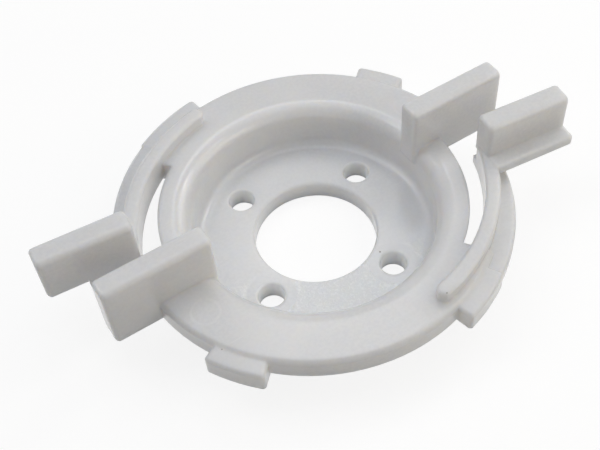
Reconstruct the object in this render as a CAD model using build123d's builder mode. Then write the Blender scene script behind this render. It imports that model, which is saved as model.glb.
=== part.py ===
"""Motor flange of a robotic mower: a one-piece moulded dish with bayonet lugs and two spring latches.

The motor bolts under the flat floor of the dish, and its shaft passes the central hole. The rim carries
four bayonet lugs. On two opposite sides a curved spring arm is cut free of the rim: pinching the arm's
grip towards the fixed grip beside it draws the arm in and lets the flange turn out of its socket.

Frame: +Z up along the bore, origin on the bore axis in the base face, X along the two fixed grips.
Millimetres and degrees.
"""
import os
from math import atan2, cos, degrees, radians, sin

from build123d import *

# Dish and rim
BORE_R = 15.7
FLOOR_THICKNESS = 5.3
WALL_THICKNESS = 4.6
LIP_OFFSET = 0.5
RIM_WIDTH = 15.1
RIM_TOP = 17.2
RIM_THICKNESS = 6.0
FLOOR_FILLET = 2.7
LIP_ROUND = 4.5
RIM_TOP_BREAK = 1.0
UNDER_EDGE_BREAK = 0.6
BASE_CHAMFER = 2.0
BORE_BREAK = 0.4

# Screw holes for the motor, with a flat margin between them and the fillet round the floor
SCREW_CIRCLE_R = 22.25
SCREW_HOLE_R = 3.4
SCREW_MARGIN = 1.75
SCREW_BREAK = 0.3
SCREW_COUNT = 4
SCREW_TURN = 27.8

# Bayonet lugs beyond the rim, each from a first to a last angle round it
LUG_REACH = 4.0
LUG_ROOT_DEPTH = 4.0
LUG_DROP = 0.8
LUG_CORNER_ROUND = 0.9
LUG_EDGE_BREAK = 0.6
BACK_LUG_ANGLES = (27.4, 42.3)
LEFT_LUG_ANGLES = (98.3, 122.0)
FRONT_LUG_ANGLES = (207.4, 224.3)
RIGHT_LUG_ANGLES = (283.0, 300.5)

# Slot between the rim and a spring arm, cut in from the rim's edge and wider below
SLOT_DEPTH = 7.5
SLOT_WIDENING = 0.9
SLOT_END_ANGLE = -53.6

# Spring arms, each at its own turn about the bore
ARM_TURNS = (-0.9, 181.0)

# Arm section, bent about a point off the bore axis so that its slot widens towards the grips
ARM_REACH = 3.9
ARM_INNER_DEPTH = 1.7
ARM_CENTRE_X = 0.95
ARM_CENTRE_Y = 4.75
ARM_UNDERCUT = 1.7
ARM_ROOT_ANGLE = -66.0
LEDGE_DROP = 1.4
LEDGE_BREAK = 0.6
RIB_WIDTH = 3.7
RIB_RISE = 3.4
RIB_BREAK = 0.5
RIB_START_ANGLE = -78.9
RIB_END_ANGLE = -20.5

# Fixed grip, standing on the rim along X, from just inside the lip
FIXED_GRIP_OVERHANG = 0.9
FIXED_GRIP_LENGTH = 27.7
FIXED_GRIP_NEAR_Y = -1.0
FIXED_GRIP_THICKNESS = 6.2
FIXED_GRIP_RISE = 12.5
FIXED_GRIP_DEPTH = 5.6

# Arm grip, standing on the end of the arm, turned away from the fixed grip
ARM_GRIP_INSET = 2.4
ARM_GRIP_LENGTH = 23.1
ARM_GRIP_OFFSET = 4.3
ARM_GRIP_THICKNESS = 6.4
ARM_GRIP_RISE = 13.5
ARM_GRIP_CLEARANCE = 1.1
ARM_GRIP_TURN = -6.0
FOOT_REACH = 4.2
FOOT_THICKNESS = 2.6
WEB_INSET = 1.4
WEB_LENGTH = 11.8
WEB_THICKNESS = 2.6

# Rounding shared by the grips
GRIP_TOP_ROUND = 1.6
GRIP_END_ROUND = 1.1
FOOT_ROUND = 0.8

floor_r = SCREW_CIRCLE_R + SCREW_HOLE_R + SCREW_BREAK + SCREW_MARGIN + FLOOR_FILLET
lip_r = floor_r + LIP_OFFSET
rim_r = lip_r + RIM_WIDTH
rim_bottom = RIM_TOP - RIM_THICKNESS
lug_r = rim_r + LUG_REACH
slot_r = rim_r - SLOT_DEPTH
arm_r = rim_r + ARM_REACH
arm_inner_r = rim_r - ARM_INNER_DEPTH
arm_bottom = rim_bottom + ARM_UNDERCUT
ledge_top = RIM_TOP - LEDGE_DROP
rib_top = RIM_TOP + RIB_RISE
fixed_grip_start = lip_r - FIXED_GRIP_OVERHANG
fixed_grip_top = RIM_TOP + FIXED_GRIP_RISE
fixed_grip_bottom = RIM_TOP - FIXED_GRIP_DEPTH
fixed_grip_far_y = FIXED_GRIP_NEAR_Y + FIXED_GRIP_THICKNESS
arm_grip_start = rim_r - ARM_GRIP_INSET
arm_grip_top = RIM_TOP + ARM_GRIP_RISE
arm_grip_bottom = RIM_TOP + ARM_GRIP_CLEARANCE
arm_grip_far = ARM_GRIP_OFFSET + ARM_GRIP_THICKNESS
foot_edge = arm_grip_far + FOOT_REACH
foot_top = arm_grip_bottom + FOOT_THICKNESS
web_bottom = ledge_top - LEDGE_BREAK
beyond = 2 * (arm_r + ARM_GRIP_LENGTH)


def rounded_face(corners):
    """Face inside a closed line, with each corner given as two coordinates and a radius."""
    with BuildLine() as outline:
        FilletPolyline(
            [(across, up) for across, up, _ in corners],
            radius=[corner_round for _, _, corner_round in corners],
            close=True,
        )
    make_face(outline.edges())


def upright_plane(angle):
    """Plane through the bore axis at an angle, with its own X outward and its own Y up."""
    outward = Vector(cos(radians(angle)), sin(radians(angle)))
    return Plane(origin=(0, 0, 0), x_dir=outward, z_dir=outward.rotate(Axis.Z, -90))


# Dish: the wall's section turned about the bore
with BuildPart() as dish:
    with BuildSketch(Plane.XZ):
        rounded_face(
            [
                (BORE_R, BORE_BREAK, 0),
                (BORE_R + BORE_BREAK, 0, 0),
                (floor_r + WALL_THICKNESS - BASE_CHAMFER, 0, 0),
                (floor_r + WALL_THICKNESS, BASE_CHAMFER, 0),
                (lip_r + WALL_THICKNESS, rim_bottom, 0),
                (rim_r - UNDER_EDGE_BREAK, rim_bottom, 0),
                (rim_r, rim_bottom + UNDER_EDGE_BREAK, 0),
                (rim_r, RIM_TOP - RIM_TOP_BREAK, 0),
                (rim_r - RIM_TOP_BREAK, RIM_TOP, 0),
                (lip_r, RIM_TOP, LIP_ROUND),
                (floor_r, FLOOR_THICKNESS, FLOOR_FILLET),
                (BORE_R + BORE_BREAK, FLOOR_THICKNESS, 0),
                (BORE_R, FLOOR_THICKNESS - BORE_BREAK, 0),
            ]
        )
    revolve(axis=Axis.Z)
    with BuildSketch(Plane.XY.offset(FLOOR_THICKNESS)):
        with PolarLocations(SCREW_CIRCLE_R, SCREW_COUNT, start_angle=SCREW_TURN):
            Circle(SCREW_HOLE_R)
    extrude(amount=-FLOOR_THICKNESS, mode=Mode.SUBTRACT)
    chamfer(dish.edges(Select.LAST).filter_by(GeomType.CIRCLE).group_by(Axis.Z)[-1], SCREW_BREAK)

# Slot: the space between the rim and an arm, open at the fixed grip
slot_mouth_angle = degrees(atan2(FIXED_GRIP_NEAR_Y + FIXED_GRIP_THICKNESS / 2, rim_r))
with BuildPart() as slot:
    with BuildSketch(upright_plane(SLOT_END_ANGLE)):
        with BuildLine():
            Polyline(
                (slot_r - SLOT_WIDENING, rim_bottom),
                (slot_r, RIM_TOP),
                (lug_r, RIM_TOP),
                (lug_r, rim_bottom),
                close=True,
            )
        make_face()
    revolve(axis=Axis.Z, revolution_arc=slot_mouth_angle - SLOT_END_ANGLE)

# Spring arm: a low ledge under a tall rib, from its root to the near face of its grip
arm_centre = (ARM_CENTRE_X, ARM_CENTRE_Y)
rib_middle_r = arm_inner_r + RIB_WIDTH / 2
grip_direction = Vector(1, 0).rotate(Axis.Z, ARM_GRIP_TURN)
grip_side = grip_direction.rotate(Axis.Z, -90)
with BuildPart() as spring_arm:
    with BuildSketch(Plane.XY.offset(arm_bottom)):
        Circle(arm_r)
        with Locations(arm_centre):
            Circle(arm_inner_r, mode=Mode.SUBTRACT)
        with Locations(Location((0, 0), ARM_ROOT_ANGLE)):
            Rectangle(beyond, beyond, align=(Align.CENTER, Align.MAX), mode=Mode.SUBTRACT)
        with Locations(Location(grip_side * ARM_GRIP_OFFSET, (0, 0, ARM_GRIP_TURN))):
            Rectangle(beyond, beyond, align=(Align.CENTER, Align.MIN), mode=Mode.SUBTRACT)
    extrude(amount=ledge_top - arm_bottom)
    chamfer(spring_arm.faces().sort_by(Axis.Z)[-1].edges(), LEDGE_BREAK)
    with BuildSketch(Plane.XY.offset(arm_bottom)):
        with BuildLine():
            rib_path = CenterArc(arm_centre, rib_middle_r, RIB_START_ANGLE, RIB_END_ANGLE - RIB_START_ANGLE)
        SlotArc(rib_path, RIB_WIDTH)
    extrude(amount=rib_top - arm_bottom)
    chamfer(spring_arm.faces().sort_by(Axis.Z)[-1].edges(), RIB_BREAK)

# Arm grip: a plate with a foot along its outer side, and a web below it at the root
grip_root_plane = Plane(origin=grip_direction * arm_grip_start, x_dir=grip_side, z_dir=-grip_direction)
with BuildPart() as arm_grip:
    with BuildSketch(grip_root_plane):
        rounded_face(
            [
                (ARM_GRIP_OFFSET, arm_grip_bottom, 0),
                (ARM_GRIP_OFFSET, arm_grip_top, GRIP_TOP_ROUND),
                (arm_grip_far, arm_grip_top, GRIP_TOP_ROUND),
                (arm_grip_far, foot_top, 0),
                (foot_edge, foot_top, FOOT_ROUND),
                (foot_edge, arm_grip_bottom, 0),
            ]
        )
    extrude(amount=-ARM_GRIP_LENGTH)
    grip_ends = arm_grip.faces().sort_by(Axis((0, 0, 0), grip_direction))
    fillet(grip_ends[0].edges() + grip_ends[-1].edges(), GRIP_END_ROUND)
    with BuildSketch(grip_root_plane.offset(-WEB_INSET)):
        with Locations((ARM_GRIP_OFFSET, web_bottom)):
            Rectangle(WEB_THICKNESS, foot_top - web_bottom, align=(Align.MIN, Align.MIN))
    extrude(amount=-WEB_LENGTH)

# Fixed grip: a rounded plate along X, sunk into the rim
with BuildPart() as fixed_grip:
    with BuildSketch(Plane.YZ.offset(fixed_grip_start)):
        rounded_face(
            [
                (FIXED_GRIP_NEAR_Y, fixed_grip_bottom, 0),
                (fixed_grip_far_y, fixed_grip_bottom, 0),
                (fixed_grip_far_y, fixed_grip_top, GRIP_TOP_ROUND),
                (FIXED_GRIP_NEAR_Y, fixed_grip_top, GRIP_TOP_ROUND),
            ]
        )
    extrude(amount=FIXED_GRIP_LENGTH)
    fillet(fixed_grip.edges().filter_by(Plane.YZ), GRIP_END_ROUND)


def bayonet_lug(first_angle, last_angle):
    """Lug with rounded edges on the rim between two angles."""
    with BuildPart() as lug:
        with BuildSketch(Plane.XY.offset(rim_bottom)) as plan:
            with BuildLine():
                outer_edge = CenterArc((0, 0), lug_r, first_angle, last_angle - first_angle)
                root_edge = CenterArc((0, 0), rim_r - LUG_ROOT_DEPTH, first_angle, last_angle - first_angle)
                Line(root_edge @ 0, outer_edge @ 0)
                Line(root_edge @ 1, outer_edge @ 1)
            make_face()
            fillet(plan.vertices().sort_by_distance((0, 0))[-2:], LUG_CORNER_ROUND)
        extrude(amount=RIM_THICKNESS - LUG_DROP)
        chamfer(lug.faces().sort_by(Axis.Z)[-1].edges(), LUG_EDGE_BREAK)
    return lug.part


# One-piece moulding
with BuildPart() as motor_flange:
    add(dish.part)
    for lug_angles in (BACK_LUG_ANGLES, LEFT_LUG_ANGLES, FRONT_LUG_ANGLES, RIGHT_LUG_ANGLES):
        add(bayonet_lug(*lug_angles))
    for arm_turn in ARM_TURNS:
        with Locations(Rotation(0, 0, arm_turn)):
            add(slot.part, mode=Mode.SUBTRACT)
            add(spring_arm.part)
            add(arm_grip.part)
    with PolarLocations(0, len(ARM_TURNS)):
        add(fixed_grip.part)

motor_flange.part.label = "motor_flange"
os.makedirs("parts", exist_ok=True)
export_step(motor_flange.part, "parts/motor_flange.step")
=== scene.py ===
"""Studio scene of the mower motor flange: the moulded solid in milky plastic, seen from above its front.

Lengths are in metres where nothing else is said. Patterns in the plastic are laid out in millimetres.
"""

import math

import bpy
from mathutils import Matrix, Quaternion, Vector

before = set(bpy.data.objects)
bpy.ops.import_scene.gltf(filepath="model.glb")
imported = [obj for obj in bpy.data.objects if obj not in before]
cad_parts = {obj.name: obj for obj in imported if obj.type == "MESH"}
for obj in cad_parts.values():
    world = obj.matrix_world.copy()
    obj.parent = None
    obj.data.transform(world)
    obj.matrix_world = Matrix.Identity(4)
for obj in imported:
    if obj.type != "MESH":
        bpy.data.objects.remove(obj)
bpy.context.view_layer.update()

# View of the photograph, with angles in degrees
PHOTO_WIDTH = 600
FOCAL_LENGTH_PX = 1013.5
VIEW_CENTRE_PX = 345.0
SENSOR_WIDTH_MM = 36.0
NEAR_CLIP = 0.01
CAMERA_PLACE = Vector((-0.0794, -0.1372, 0.2115))
CAMERA_HEADING = 32.80
CAMERA_TILT = 52.22
CAMERA_ROLL = 1.83

# Flange features that the plastic's marks follow, in millimetres and degrees
MM_PER_METRE = 1000.0
FLOOR_R = 30.4
FLOOR_TOP = 5.3
RIM_TOP = 17.2
SCREW_CIRCLE_R = 22.25
SCREW_TURN = 27.8
SCREW_COUNT = 4
SCREW_HOLE_R = 3.4
WASHER_R = 6.2
SHEEN_ZONE_HEADING = 252.8
EJECTOR_MARK_X = -38.1
EJECTOR_MARK_Y = -13.0
EJECTOR_MARK_R = 3.4
SPECK_R = 0.32
SPECK_PLACES = (
    (8.7, -42.2, 20.6),
    (9.6, -15.0, 5.3),
    (-39.7, -23.3, 16.6),
    (22.9, -20.2, 11.6),
    (-42.2, -5.2, 29.4),
)

# Where a mark starts to show and where it shows in full, in millimetres
FLOOR_HEIGHT_FADE = (FLOOR_TOP + 1.2, FLOOR_TOP + 0.2)
FLOOR_EDGE_FADE = (FLOOR_R - 0.5, FLOOR_R - 4.0)
SHEEN_ZONE_FADE = (7.0, 20.0)
WASHER_SEAT_FADE = (WASHER_R + 0.3, WASHER_R - 0.3)
SPECK_FADE = (SPECK_R, SPECK_R / 2)

# Rings, of marks and of painted highlight: the radius, then how far from it the ring starts to show and
# shows in full
WASHER_RING = (WASHER_R + 0.8, 0.9, 0.1)
HOLE_RIM_HIGHLIGHT_RING = (SCREW_HOLE_R + 0.2, 0.45, 0.1)
EJECTOR_RING = (EJECTOR_MARK_R, 0.6, 0.1)

# Noise of each pattern: its scale, detail and distortion
FLOW_STREAK_NOISE = (1.5, 4.0, 0.6)
WASHER_NOISE = (0.5, 3.0, 0.0)
EJECTOR_NOISE = (0.3, 2.0, 0.0)
CLOUD_NOISE = (0.05, 3.0, 0.4)
MOTTLE_NOISE = (1.1, 3.0, 0.0)
SCUFF_NOISE = (1.0, 2.0, 0.0)
SCUFF_AREA_NOISE = (0.09, 1.0, 0.0)
GLOSS_NOISE = (0.25, 3.0, 0.0)
BOARD_NOISE = (40.0, 2.0, 0.0)

# Noise levels at which a pattern starts to show and shows in full
FLOW_STREAK_LEVELS = (0.47, 0.62)
WASHER_LEVELS = (0.44, 0.54)
EJECTOR_LEVELS = (0.40, 0.60)
CLOUD_LEVELS = (0.35, 0.65)
MOTTLE_LEVELS = (0.35, 0.65)
SCUFF_LEVELS = (0.66, 0.74)
SCUFF_AREA_LEVELS = (0.52, 0.66)

# Run of the scuffs: its turn in radians, and how much finer the noise is along, across and down
SCUFF_TURN = (0.0, 0.0, 0.6)
SCUFF_FINENESS = (0.10, 2.4, 0.6)

# Colours of the plastic, and how far each mark takes it to that mark's colour. The pale zone on the front of
# the dish floor is painted sheen; its paler streaks, washer-ring flecks and hole rims are painted glints and
# highlights.
CLOUD_GREY = (0.765, 0.768, 0.785, 1)
CLOUD_WHITE = (0.805, 0.805, 0.815, 1)
MOTTLE_WHITE = (0.85, 0.85, 0.855, 1)
# Pale colour of the painted sheen on the front of the dish floor
SHEEN_WHITE = (0.92, 0.92, 0.91, 1)
# Pale colour of real marks and scuffs, and of painted glints and highlights on the dish floor
MARK_AND_HIGHLIGHT_WHITE = (0.98, 0.98, 0.97, 1)
SPECK_BROWN = (0.12, 0.11, 0.10, 1)
MOTTLE_SHARE = 0.40
SHEEN_SHARE = 0.80
STREAK_GLINT_SHARE = 0.85
WASHER_GLINT_SHARE = 0.90
EJECTOR_MARK_SHARE = 0.16
HOLE_RIM_HIGHLIGHT_SHARE = 0.70
SCUFF_SHARE = 0.25
SPECK_SHARE = 0.80

# Gloss of the plastic: its roughness, and what uneven gloss and scuffs add to it
SATIN_ROUGHNESS = 0.29
UNEVEN_ROUGHNESS = 0.08
SCUFF_ROUGHNESS = 0.18

# Relief of the plastic: the marks' heights in millimetres, and the rounding of edges
MOTTLE_HEIGHT = 0.010
CLOUD_HEIGHT = 0.12
FLOW_MARK_HEIGHT = 0.22
WASHER_MARK_HEIGHT = 0.04
EJECTOR_MARK_HEIGHT = 0.05
RELIEF_UNIT = 0.001
RELIEF_STRENGTH = 0.7
SOFT_EDGE_R = 0.0013
SOFT_EDGE_SAMPLES = 8

# Shader settings that are the same all over the plastic
PLASTIC_SETTINGS = {
    "IOR": 1.49,
    "Specular IOR Level": 0.5,
    "Coat Weight": 0.6,
    "Coat Roughness": 0.13,
    "Subsurface Weight": 0.9,
    "Subsurface Radius": (1.0, 0.86, 0.68),
    "Subsurface Scale": 0.008,
}

# Studio: soft boxes, each with its distance to the right, away and up from the flange as the camera sees it,
# its side, its power in watts and its colour
SOFT_BOXES = {
    "top_box": ((0.0, 0.1, 0.9), 0.6, 1.02, (0.82, 0.89, 1.0)),
    "high_left_box": ((-0.45, 0.15, 0.7), 0.4, 1.18, (1.0, 1.0, 1.0)),
    "back_box": ((0.0, 0.52, 0.85), 0.22, 0.44, (1.0, 1.0, 1.0)),
    "back_right_box": ((0.6, 0.5, 0.6), 0.5, 0.94, (1.0, 1.0, 1.0)),
    "high_back_right_spot": ((0.54, 0.51, 0.75), 0.12, 0.30, (1.0, 1.0, 1.0)),
    "high_right_spot": ((0.63, 0.10, 0.84), 0.12, 0.28, (1.0, 1.0, 1.0)),
    "near_back_box": ((0.25, 0.25, 0.25), 0.15, 0.09, (1.0, 0.96, 0.88)),
    "right_box": ((0.8, 0.0, 0.45), 0.5, 1.02, (1.0, 0.92, 0.80)),
    "left_box": ((-0.8, 0.0, 0.5), 0.5, 0.50, (1.0, 0.97, 0.92)),
    "front_right_box": ((0.6, -0.6, 0.35), 0.4, 0.20, (1.0, 0.93, 0.84)),
    "near_right_box": ((0.3, -0.15, 0.25), 0.15, 0.15, (1.0, 0.93, 0.78)),
    "front_box": ((0.0, -0.8, 0.4), 0.5, 0.12, (1.0, 0.93, 0.80)),
}
WORLD_LEVEL = 0.125

# Floor: a board, and the glow that makes it white to look at
FLOOR_SIZE = 4.0
FLOOR_GLOW = 1.28
FLOOR_GLOW_SHARE = 0.66
BOARD_GREY = (0.60, 0.60, 0.60, 1)
BOARD_PALE_GREY = (0.62, 0.62, 0.62, 1)
WHITE = (1, 1, 1, 1)

# Places of the colour sockets on a Mix node
MIX_FIRST_COLOUR = 6
MIX_SECOND_COLOUR = 7
MIX_COLOUR = 2


class NodeBench:
    """Short way to add and link nodes in one tree."""

    def __init__(self, tree):
        self.tree = tree

    def add(self, kind, inputs=None, **settings):
        """New node with its settings, its inputs set to values or linked to sockets."""
        node = self.tree.nodes.new(kind)
        for name, value in settings.items():
            setattr(node, name, value)
        for name, value in (inputs or {}).items():
            self.feed(node.inputs[name], value)
        return node

    def feed(self, socket, value):
        """Link a socket, or set a plain value."""
        if isinstance(value, bpy.types.NodeSocket):
            self.tree.links.new(value, socket)
        else:
            socket.default_value = value

    def math(self, operation, first, second=0.0, third=0.0):
        """Result of one Math node."""
        node = self.add("ShaderNodeMath", {0: first, 1: second, 2: third}, operation=operation)
        return node.outputs[0]

    def times(self, first, second):
        """Product of two values, or the part that two marks share."""
        return self.math("MULTIPLY", first, second)

    def stack(self, base, *layers):
        """Base value plus each layer times its share."""
        total = base
        for layer, share in layers:
            total = self.math("ADD", total, self.times(layer, share))
        return total

    def length(self, x, y, z=0.0):
        """Length of the vector with these parts."""
        vector = self.add("ShaderNodeCombineXYZ", {"X": x, "Y": y, "Z": z}).outputs["Vector"]
        return self.add("ShaderNodeVectorMath", {0: vector}, operation="LENGTH").outputs["Value"]

    def fade(self, value, start, end):
        """0 where the value is at start, 1 where it is at end, and smooth between."""
        node = self.add(
            "ShaderNodeMapRange",
            {"Value": value, "From Min": start, "From Max": end},
            interpolation_type="SMOOTHSTEP",
        )
        return node.outputs["Result"]

    def ring(self, distance, radius, start, end):
        """Soft ring where the distance is near the radius."""
        return self.fade(self.math("ABSOLUTE", self.math("SUBTRACT", distance, radius)), start, end)

    def noise(self, vector, scale, detail, distortion):
        """Noise value over the surface."""
        node = self.add(
            "ShaderNodeTexNoise",
            {"Vector": vector, "Scale": scale, "Detail": detail, "Distortion": distortion},
        )
        return node.outputs["Fac"]

    def patches(self, vector, noise, levels):
        """Patches where a noise lies above its levels."""
        return self.fade(self.noise(vector, *noise), *levels)

    def blend(self, share, first, second):
        """Colour between two colours."""
        node = self.add("ShaderNodeMix", {"Factor": share}, data_type="RGBA")
        self.feed(node.inputs[MIX_FIRST_COLOUR], first)
        self.feed(node.inputs[MIX_SECOND_COLOUR], second)
        return node.outputs[MIX_COLOUR]

    def seen(self):
        """1 for rays that show a background: from the camera, off gloss or through glass."""
        path = self.add("ShaderNodeLightPath").outputs
        shown = self.math("MAXIMUM", path["Is Camera Ray"], path["Is Glossy Ray"])
        return self.math("MAXIMUM", shown, path["Is Transmission Ray"])


def new_material(name):
    """Empty node material and a bench for its tree."""
    material = bpy.data.materials.new(name)
    material.use_nodes = True
    material.node_tree.nodes.clear()
    return material, NodeBench(material.node_tree)


def flange_place(bench):
    """Place on the flange in millimetres, whole and as its x, y and z."""
    place = bench.add("ShaderNodeTexCoord").outputs["Object"]
    scaled = bench.add("ShaderNodeVectorMath", {0: place, "Scale": MM_PER_METRE}, operation="SCALE")
    whole = scaled.outputs["Vector"]
    x, y, z = bench.add("ShaderNodeSeparateXYZ", {"Vector": whole}).outputs
    return whole, x, y, z


def screw_hole_distance(bench, x, y, radius):
    """Distance from the nearest screw hole's axis, by turning all quarters of the floor onto one."""
    quarter = 2 * math.pi / SCREW_COUNT
    angle = bench.math("SUBTRACT", bench.math("ARCTAN2", y, x), math.radians(SCREW_TURN))
    angle = bench.math("WRAP", angle, quarter / 2, -quarter / 2)
    outward = bench.times(radius, bench.math("COSINE", angle))
    across = bench.times(radius, bench.math("SINE", angle))
    return bench.length(bench.math("SUBTRACT", outward, SCREW_CIRCLE_R), across)


def dish_floor_sheen_and_marks(bench, place, x, y, z):
    """Painted sheen on the front of the dish floor, its streaks of moulded texture with painted glints,
    washer rings with painted glints in it, and painted highlight rings round the holes.

    The painted sheen stops on the washer seats.
    """
    radius = bench.length(x, y)
    on_floor = bench.times(bench.fade(z, *FLOOR_HEIGHT_FADE), bench.fade(radius, *FLOOR_EDGE_FADE))
    from_hole = screw_hole_distance(bench, x, y, radius)
    heading = math.radians(SHEEN_ZONE_HEADING)
    sheen_zone_way = bench.math("ADD", bench.times(x, math.cos(heading)), bench.times(y, math.sin(heading)))
    # Zone of painted sheen and glints on the front of the dish floor
    sheen_zone = bench.times(bench.fade(sheen_zone_way, *SHEEN_ZONE_FADE), on_floor)
    washer_seat = bench.times(bench.fade(from_hole, *WASHER_SEAT_FADE), on_floor)
    floor_sheen = bench.times(sheen_zone, bench.math("SUBTRACT", 1.0, washer_seat))
    # Streaks of moulded texture; their paler colour is painted glints
    streak_relief_and_glint = bench.times(floor_sheen, bench.patches(place, FLOW_STREAK_NOISE, FLOW_STREAK_LEVELS))
    # Raised washer rings; their pale flecks are painted glints
    washer_ring_flecks = bench.times(
        bench.ring(from_hole, *WASHER_RING),
        bench.patches(place, WASHER_NOISE, WASHER_LEVELS),
    )
    washer_ring_and_glint = bench.times(washer_ring_flecks, sheen_zone)
    # Paler rings round the holes are painted highlights
    hole_rim_highlight = bench.times(bench.ring(from_hole, *HOLE_RIM_HIGHLIGHT_RING), on_floor)
    return floor_sheen, streak_relief_and_glint, washer_ring_and_glint, hole_rim_highlight


def ejector_marks(bench, place, x, y, z):
    """Broken ring left on the rim by an ejector pin, and its pair half a turn on."""
    side = bench.math("SIGN", bench.times(x, EJECTOR_MARK_X))
    from_mark = bench.length(
        bench.math("SUBTRACT", bench.times(x, side), EJECTOR_MARK_X),
        bench.math("SUBTRACT", bench.times(y, side), EJECTOR_MARK_Y),
        bench.math("SUBTRACT", z, RIM_TOP),
    )
    return bench.times(
        bench.ring(from_mark, *EJECTOR_RING),
        bench.patches(place, EJECTOR_NOISE, EJECTOR_LEVELS),
    )


def dark_specks(bench, place):
    """A few dark specks, each a small ball."""
    specks = 0.0
    for speck_place in SPECK_PLACES:
        node = bench.add("ShaderNodeVectorMath", {0: place, 1: speck_place}, operation="DISTANCE")
        specks = bench.math("MAXIMUM", specks, bench.fade(node.outputs["Value"], *SPECK_FADE))
    return specks


def fine_scuffs(bench, place):
    """Fine scuffs: long thin noise, broken up by a wider one."""
    stretched = bench.add(
        "ShaderNodeMapping",
        {"Vector": place, "Rotation": SCUFF_TURN, "Scale": SCUFF_FINENESS},
    ).outputs["Vector"]
    return bench.times(
        bench.patches(stretched, SCUFF_NOISE, SCUFF_LEVELS),
        bench.patches(place, SCUFF_AREA_NOISE, SCUFF_AREA_LEVELS),
    )


def milky_plastic():
    """Milky white moulded plastic with streaks, washer rings, ejector marks, scuffs and specks, and painted
    sheen, glints and highlights on the dish floor.
    """
    material, bench = new_material("milky_plastic")
    place, x, y, z = flange_place(bench)
    floor_sheen, streak_relief_and_glint, washer_ring_and_glint, hole_rim_highlight = dish_floor_sheen_and_marks(bench, place, x, y, z)
    ejector_mark = ejector_marks(bench, place, x, y, z)
    specks = dark_specks(bench, place)
    scuff = fine_scuffs(bench, place)
    cloud = bench.noise(place, *CLOUD_NOISE)
    mottle = bench.noise(place, *MOTTLE_NOISE)

    # Colour: cloudy and finely mottled, with painted sheen on the front of the dish floor, painted glints
    # and highlight rings there, and paler ejector marks and scuffs
    colour = bench.blend(bench.fade(cloud, *CLOUD_LEVELS), CLOUD_GREY, CLOUD_WHITE)
    mottling = bench.times(bench.fade(mottle, *MOTTLE_LEVELS), MOTTLE_SHARE)
    colour = bench.blend(mottling, colour, MOTTLE_WHITE)
    # Painted sheen: the front of the dish floor made paler
    colour = bench.blend(bench.times(floor_sheen, SHEEN_SHARE), colour, SHEEN_WHITE)
    marks_and_highlights = bench.stack(
        0.0,
        (streak_relief_and_glint, STREAK_GLINT_SHARE),
        (washer_ring_and_glint, WASHER_GLINT_SHARE),
        (ejector_mark, EJECTOR_MARK_SHARE),
        (hole_rim_highlight, HOLE_RIM_HIGHLIGHT_SHARE),
        (scuff, SCUFF_SHARE),
    )
    # Paler ejector marks and scuffs, and painted glints and highlights on the dish floor
    colour = bench.blend(bench.math("MINIMUM", marks_and_highlights, 1.0), colour, MARK_AND_HIGHLIGHT_WHITE)
    colour = bench.blend(bench.times(specks, SPECK_SHARE), colour, SPECK_BROWN)

    # Gloss: satin, duller in scuffs
    uneven = bench.noise(place, *GLOSS_NOISE)
    roughness = bench.stack(SATIN_ROUGHNESS, (uneven, UNEVEN_ROUGHNESS), (scuff, SCUFF_ROUGHNESS))

    # Relief: moulded grain, soft sinks and the marks, on softened edges
    soft_edges = bench.add("ShaderNodeBevel", {"Radius": SOFT_EDGE_R}, samples=SOFT_EDGE_SAMPLES)
    relief = bench.stack(
        0.0,
        (mottle, MOTTLE_HEIGHT),
        (cloud, CLOUD_HEIGHT),
        (streak_relief_and_glint, FLOW_MARK_HEIGHT),
        (washer_ring_and_glint, WASHER_MARK_HEIGHT),
        (ejector_mark, EJECTOR_MARK_HEIGHT),
    )
    bump = bench.add(
        "ShaderNodeBump",
        {
            "Height": relief,
            "Distance": RELIEF_UNIT,
            "Strength": RELIEF_STRENGTH,
            "Normal": soft_edges.outputs["Normal"],
        },
    )

    surface = {"Base Color": colour, "Roughness": roughness, "Normal": bump.outputs["Normal"]}
    shader = bench.add("ShaderNodeBsdfPrincipled", {**surface, **PLASTIC_SETTINGS})
    bench.add("ShaderNodeOutputMaterial", {"Surface": shader.outputs["BSDF"]})
    return material


def pale_board():
    """Matt pale board that shows white to the camera and in gloss, and keeps a soft shadow."""
    material, bench = new_material("pale_board")
    place = bench.add("ShaderNodeTexCoord").outputs["Object"]
    grain = bench.noise(place, *BOARD_NOISE)
    board = bench.add("ShaderNodeBsdfDiffuse", {"Color": bench.blend(grain, BOARD_GREY, BOARD_PALE_GREY)})
    glow = bench.add("ShaderNodeEmission", {"Color": WHITE, "Strength": FLOOR_GLOW})
    share = bench.times(bench.seen(), FLOOR_GLOW_SHARE)
    mixed = bench.add("ShaderNodeMixShader", {0: share, 1: board.outputs[0], 2: glow.outputs[0]})
    bench.add("ShaderNodeOutputMaterial", {"Surface": mixed.outputs[0]})
    return material


def lay_floor():
    """Large square board under the flange."""
    half = FLOOR_SIZE / 2
    mesh = bpy.data.meshes.new("floor")
    corners = [(-half, -half, 0), (half, -half, 0), (half, half, 0), (-half, half, 0)]
    mesh.from_pydata(corners, [], [(0, 1, 2, 3)])
    mesh.materials.append(pale_board())
    floor = bpy.data.objects.new("floor", mesh)
    bpy.context.scene.collection.objects.link(floor)


def studio_place(right, away, up):
    """Point in the flange's frame from distances as seen by the camera."""
    heading = math.radians(CAMERA_HEADING)
    away_direction = Vector((math.sin(heading), math.cos(heading), 0))
    right_direction = Vector((math.cos(heading), -math.sin(heading), 0))
    return right_direction * right + away_direction * away + Vector((0, 0, up))


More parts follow.
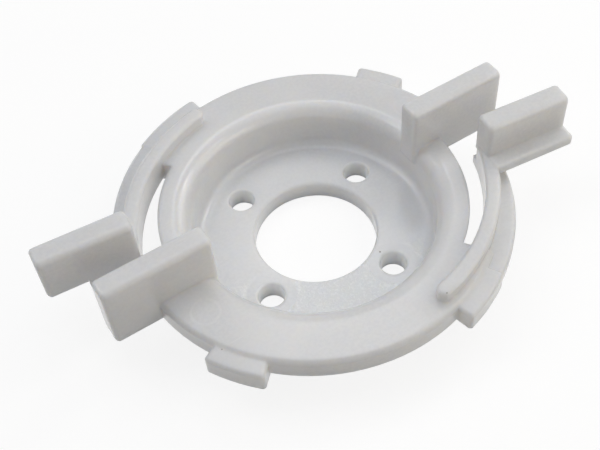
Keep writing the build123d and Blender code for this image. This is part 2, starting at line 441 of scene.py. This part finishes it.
def hang_soft_box(name, place, side, power, colour):
    """Square soft box that faces the flange."""
    lamp_data = bpy.data.lights.new(name, "AREA")
    lamp_data.size = side
    lamp_data.energy = power
    lamp_data.color = colour
    lamp = bpy.data.objects.new(name, lamp_data)
    lamp.location = studio_place(*place)
    lamp.rotation_mode = "QUATERNION"
    lamp.rotation_quaternion = (-lamp.location).to_track_quat("-Z", "Y")
    bpy.context.scene.collection.objects.link(lamp)


def light_studio():
    """Soft boxes all round, and plain surroundings that show white to the camera and in gloss."""
    for name, (place, side, power, colour) in SOFT_BOXES.items():
        hang_soft_box(name, place, side, power, colour)
    world = bpy.data.worlds.new("studio")
    world.use_nodes = True
    world.node_tree.nodes.clear()
    bench = NodeBench(world.node_tree)
    level = bench.stack(WORLD_LEVEL, (bench.seen(), 1.0 - WORLD_LEVEL))
    surround = bench.add("ShaderNodeBackground", {"Color": WHITE, "Strength": level})
    bench.add("ShaderNodeOutputWorld", {"Surface": surround.outputs[0]})
    bpy.context.scene.world = world


def set_camera():
    """Camera at the photograph's place, turn and framing."""
    lens = bpy.data.cameras.new("camera")
    lens.sensor_width = SENSOR_WIDTH_MM
    lens.lens = FOCAL_LENGTH_PX / PHOTO_WIDTH * SENSOR_WIDTH_MM
    lens.shift_x = (PHOTO_WIDTH / 2 - VIEW_CENTRE_PX) / PHOTO_WIDTH
    lens.clip_start = NEAR_CLIP
    camera = bpy.data.objects.new("camera", lens)
    heading = math.radians(CAMERA_HEADING)
    tilt = math.radians(CAMERA_TILT)
    level_reach = math.cos(tilt)
    forward = Vector((math.sin(heading) * level_reach, math.cos(heading) * level_reach, -math.sin(tilt)))
    camera.location = CAMERA_PLACE
    camera.rotation_mode = "QUATERNION"
    roll = Quaternion((0, 0, 1), math.radians(-CAMERA_ROLL))
    camera.rotation_quaternion = forward.to_track_quat("-Z", "Y") @ roll
    bpy.context.scene.collection.objects.link(camera)
    bpy.context.scene.camera = camera


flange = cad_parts["motor_flange"]
flange.data.materials.clear()
flange.data.materials.append(milky_plastic())
lay_floor()
light_studio()
set_camera()
bpy.context.scene.view_settings.view_transform = "Standard"
